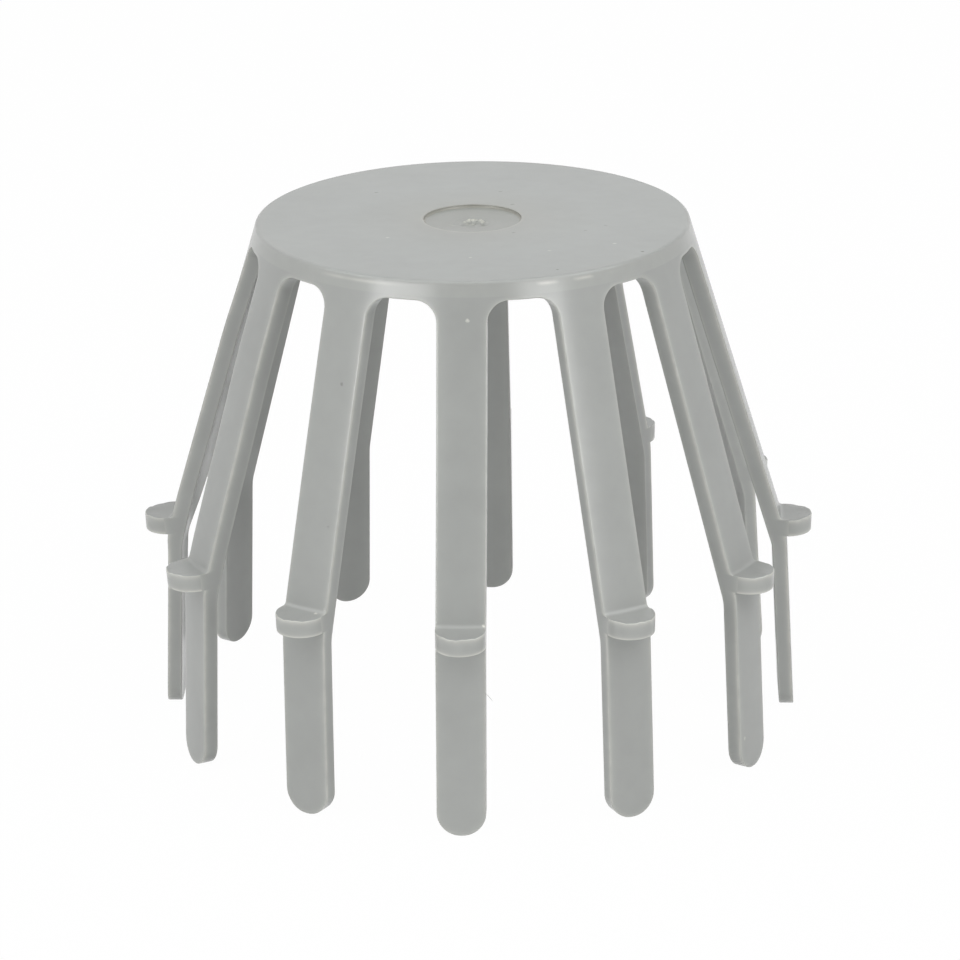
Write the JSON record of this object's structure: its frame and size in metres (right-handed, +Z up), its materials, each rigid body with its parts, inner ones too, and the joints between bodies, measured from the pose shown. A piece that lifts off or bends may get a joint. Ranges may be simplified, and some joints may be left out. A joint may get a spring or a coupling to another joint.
{
  "type": "downpipe leaf filter",
  "caption": "Moulded plastic cage with a flat round cap and sprung fingers that stop on a downpipe's rim by lugs, keeping leaves out while rainwater runs in.",
  "frame": {"origin": "on the axis of the cage, at the level of the fingertips it stands on", "axes": "+Z up along the axis, from the fingertips to the cap; -Y to the finger that faces the front"},
  "size_m": [0.0816, 0.0816, 0.0624],
  "materials": {
    "grey_plastic": "satin, as moulded"
  },
  "bodies": {
    "root": {"leaf_filter": "grey_plastic"}
  },
  "joints": []
}
